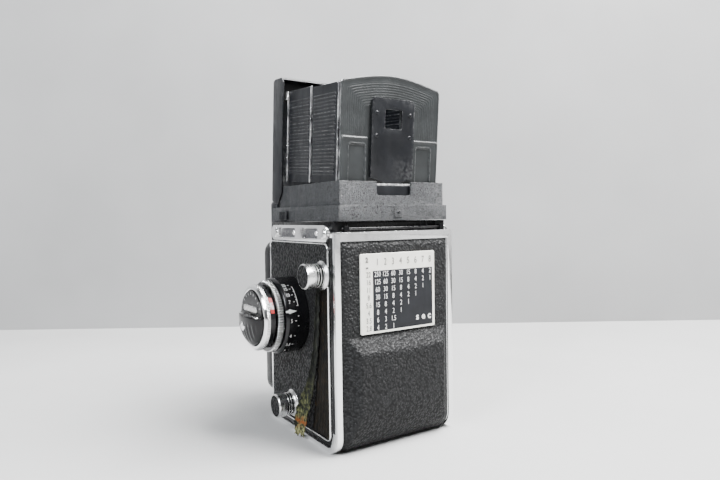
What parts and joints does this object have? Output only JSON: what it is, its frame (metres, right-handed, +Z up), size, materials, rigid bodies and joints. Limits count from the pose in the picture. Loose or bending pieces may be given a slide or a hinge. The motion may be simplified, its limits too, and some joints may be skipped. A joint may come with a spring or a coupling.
{
  "type": "twin lens reflex camera",
  "caption": "Box camera with a viewing lens above a taking lens, a pop-up folding viewing hood, a side focusing knob, a film crank and a hinged back.",
  "frame": {"origin": "under the middle of the body, on the underside of the hinged back", "axes": "+Z up, the lenses look along -Y, the focusing knob is on +X"},
  "size_m": [0.1256, 0.1167, 0.2131],
  "materials": {
    "black_paint": "semi-gloss black enamel",
    "crinkle_paint": "crinkle black",
    "hood_black": "satin black",
    "leatherette": "pebbled black",
    "chrome": "bright and satin chrome",
    "satin_chrome": "satin chrome",
    "steel": "plain steel",
    "dial_black": "black anodised",
    "table_plate": "printed plate",
    "black_plastic": "moulded",
    "lens_glass": "coated lens glass",
    "clear_glass": "ground or clear glass",
    "mirror_glass": "front-silvered"
  },
  "bodies": {
    "camera_body": {"body_shell": "black_paint", "top_cover": "black_paint", "focusing_screen": "clear_glass", "viewing_mirror": "mirror_glass", "right_trim_bead": "chrome", "left_trim_bead": "chrome", "right_leather": "leatherette", "left_leather": "leatherette", "right_strap_lug": "chrome", "left_strap_lug": "chrome", "back_hinge_pin": "steel", "focus_scale_drum": "dial_black", "exposure_dial_dome": "dial_black", "frame_counter_window": "clear_glass", "meter_housing": "hood_black", "meter_cell_window": "clear_glass", "hood_base": "crinkle_paint"},
    "lens_standard": {"lens_board": "leatherette", "viewing_lens_mount": "satin_chrome", "viewing_lens": "lens_glass", "taking_lens_mount": "satin_chrome", "taking_lens": "lens_glass", "leaf_shutter": "steel", "flash_sync_socket": "chrome"},
    "focus_knob": {"focus_knob_ring": "satin_chrome", "film_speed_band": "dial_black", "knob_front_ring": "chrome"},
    "aperture_wheel": {"aperture_wheel": "satin_chrome"},
    "shutter_speed_wheel": {"shutter_speed_wheel": "satin_chrome"},
    "release_button": {"release_button": "chrome"},
    "self_timer_lever": {"self_timer_lever": "satin_chrome"},
    "upper_spool_knob": {"upper_spool_knob": "satin_chrome"},
    "lower_spool_knob": {"lower_spool_knob": "satin_chrome"},
    "take_up_spool": {"take_up_spool": "black_plastic"},
    "supply_spool": {"supply_spool": "black_plastic"},
    "lower_film_roller": {"lower_film_roller": "steel"},
    "upper_film_roller": {"upper_film_roller": "steel"},
    "film_crank": {"crank_hub": "satin_chrome"},
    "crank_arm": {"crank_arm": "chrome"},
    "crank_grip": {"crank_grip": "satin_chrome"},
    "hinged_back": {"back_door": "chrome", "back_leather": "leatherette", "exposure_table": "table_plate", "pressure_plate": "black_paint", "pressure_spring": "steel", "tripod_socket": "steel"},
    "door_latch": {"door_latch": "satin_chrome"},
    "hood_catch": {"hood_catch": "black_paint"},
    "hood_lid": {"hood_lid": "hood_black"},
    "sports_finder_flap": {"sports_finder_flap": "hood_black"},
    "magnifier": {"magnifier_frame": "hood_black", "magnifier_lens": "lens_glass"},
    "right_front_leaf": {"right_front_leaf": "hood_black"},
    "right_rear_leaf": {"right_rear_leaf": "hood_black"},
    "left_front_leaf": {"left_front_leaf": "hood_black"},
    "left_rear_leaf": {"left_rear_leaf": "hood_black"},
    "hood_rear": {"hood_rear_panel": "hood_black", "eyepiece_plate": "hood_black"}
  },
  "joints": [
    {"name": "lens_focus", "type": "slide", "parent": "camera_body", "child": "lens_standard", "axis": [0, -1, 0], "range_m": [-0.0032, 0.0029]},
    {"name": "focus_knob_turn", "type": "hinge", "parent": "camera_body", "child": "focus_knob", "pos_m": [0.0535, -0.01, 0.07], "axis": [1, 0, 0], "range_deg": [-142, 129]},
    {"name": "aperture_wheel_turn", "type": "hinge", "parent": "lens_standard", "child": "aperture_wheel", "pos_m": [0.0255, -0.061, 0.0705], "axis": [0, -1, 0], "range_deg": [0, 110]},
    {"name": "shutter_speed_wheel_turn", "type": "hinge", "parent": "lens_standard", "child": "shutter_speed_wheel", "pos_m": [-0.0255, -0.061, 0.0705], "axis": [0, -1, 0], "range_deg": [0, 150]},
    {"name": "release_press", "type": "slide", "parent": "lens_standard", "child": "release_button", "axis": [0, 1, 0], "range_m": [0, 0.002], "stiffness_N_per_m": 400},
    {"name": "self_timer_swing", "type": "hinge", "parent": "lens_standard", "child": "self_timer_lever", "pos_m": [-0.023, -0.058, 0.0375], "axis": [0, 1, 0], "range_deg": [0, 50]},
    {"name": "upper_knob_pull", "type": "slide", "parent": "camera_body", "child": "upper_spool_knob", "axis": [1, 0, 0], "range_m": [0, 0.006], "stiffness_N_per_m": 150},
    {"name": "lower_knob_pull", "type": "slide", "parent": "camera_body", "child": "lower_spool_knob", "axis": [1, 0, 0], "range_m": [0, 0.006], "stiffness_N_per_m": 150},
    {"name": "film_crank_turn", "type": "hinge", "parent": "camera_body", "child": "film_crank", "pos_m": [-0.0386, -0.006, 0.062], "axis": [-1, 0, 0], "range_deg": [-180, 360]},
    {"name": "take_up_spool_turn", "type": "hinge", "parent": "camera_body", "child": "take_up_spool", "pos_m": [0, 0.0265, 0.0954], "axis": [-1, 0, 0], "range_deg": [-144.2, 288.2]},
    {"name": "supply_spool_turn", "type": "hinge", "parent": "camera_body", "child": "supply_spool", "pos_m": [0, -0.0122, 0.0156], "axis": [-1, 0, 0], "continuous": true},
    {"name": "lower_roller_turn", "type": "hinge", "parent": "camera_body", "child": "lower_film_roller", "pos_m": [0, 0.0295, 0.011], "axis": [-1, 0, 0], "continuous": true},
    {"name": "upper_roller_turn", "type": "hinge", "parent": "camera_body", "child": "upper_film_roller", "pos_m": [0, 0.0361, 0.0802], "axis": [-1, 0, 0], "continuous": true},
    {"name": "crank_arm_fold", "type": "hinge", "parent": "film_crank", "child": "crank_arm", "pos_m": [-0.04365, -0.006, 0.0575], "axis": [0, -1, 0], "range_deg": [0, 60]},
    {"name": "crank_grip_spin", "type": "hinge", "parent": "crank_arm", "child": "crank_grip", "pos_m": [-0.0453, -0.006, 0.084], "axis": [-1, 0, 0], "continuous": true},
    {"name": "back_swing", "type": "hinge", "parent": "camera_body", "child": "hinged_back", "pos_m": [0, 0.0406, 0.1205], "axis": [1, 0, 0], "range_deg": [0, 95]},
    {"name": "door_latch_turn", "type": "hinge", "parent": "hinged_back", "child": "door_latch", "pos_m": [0, 0.018, 0.001], "axis": [0, 0, 1], "range_deg": [0, 90]},
    {"name": "hood_catch_slide", "type": "slide", "parent": "camera_body", "child": "hood_catch", "axis": [0, 1, 0], "range_m": [0, 0.003], "stiffness_N_per_m": 200},
    {"name": "hood_lid_fold", "type": "hinge", "parent": "camera_body", "child": "hood_lid", "pos_m": [0, -0.029, 0.138], "axis": [-1, 0, 0], "range_deg": [0, 48]},
    {"name": "right_front_leaf_fold", "type": "hinge", "parent": "hood_lid", "child": "right_front_leaf", "pos_m": [0.0328, -0.02751, 0.13788], "axis": [0, 0.0785, 0.9969], "range_deg": [0, 86.5]},
    {"name": "right_rear_leaf_fold", "type": "hinge", "parent": "right_front_leaf", "child": "right_rear_leaf", "pos_m": [0.03335, 0.0022, 0.13554], "axis": [0, 0.0785, 0.9969], "range_deg": [-173, 0]},
    {"name": "left_front_leaf_fold", "type": "hinge", "parent": "hood_lid", "child": "left_front_leaf", "pos_m": [-0.0328, -0.02751, 0.13788], "axis": [0, 0.0785, 0.9969], "range_deg": [-86.5, 0]},
    {"name": "left_rear_leaf_fold", "type": "hinge", "parent": "left_front_leaf", "child": "left_rear_leaf", "pos_m": [-0.03335, 0.0022, 0.13554], "axis": [0, 0.0785, 0.9969], "range_deg": [0, 173]},
    {"name": "hood_rear_fold", "type": "hinge", "parent": "left_rear_leaf", "child": "hood_rear", "pos_m": [-0.0328, 0.03191, 0.13321], "axis": [0, 0.0785, 0.9969], "range_deg": [-86.5, 0]},
    {"name": "sports_finder_flap_fold", "type": "hinge", "parent": "hood_lid", "child": "sports_finder_flap", "pos_m": [0, -0.03967, 0.16051], "axis": [1, 0, 0], "range_deg": [-85, 0]},
    {"name": "magnifier_fold", "type": "hinge", "parent": "hood_lid", "child": "magnifier", "pos_m": [0, -0.03189, 0.20955], "axis": [-1, 0, 0], "range_deg": [-88, 0]}
  ],
  "couplings": [
    {"joint": "focus_knob_turn", "follows": "lens_focus", "rad_per_m": 772.5},
    {"joint": "take_up_spool_turn", "follows": "film_crank_turn", "ratio": 0.8},
    {"joint": "right_front_leaf_fold", "follows": "hood_lid_fold", "ratio": 1.8},
    {"joint": "right_rear_leaf_fold", "follows": "hood_lid_fold", "ratio": -3.6},
    {"joint": "left_front_leaf_fold", "follows": "hood_lid_fold", "ratio": -1.8},
    {"joint": "left_rear_leaf_fold", "follows": "hood_lid_fold", "ratio": 3.6},
    {"joint": "hood_rear_fold", "follows": "hood_lid_fold", "ratio": -1.8}
  ]
}
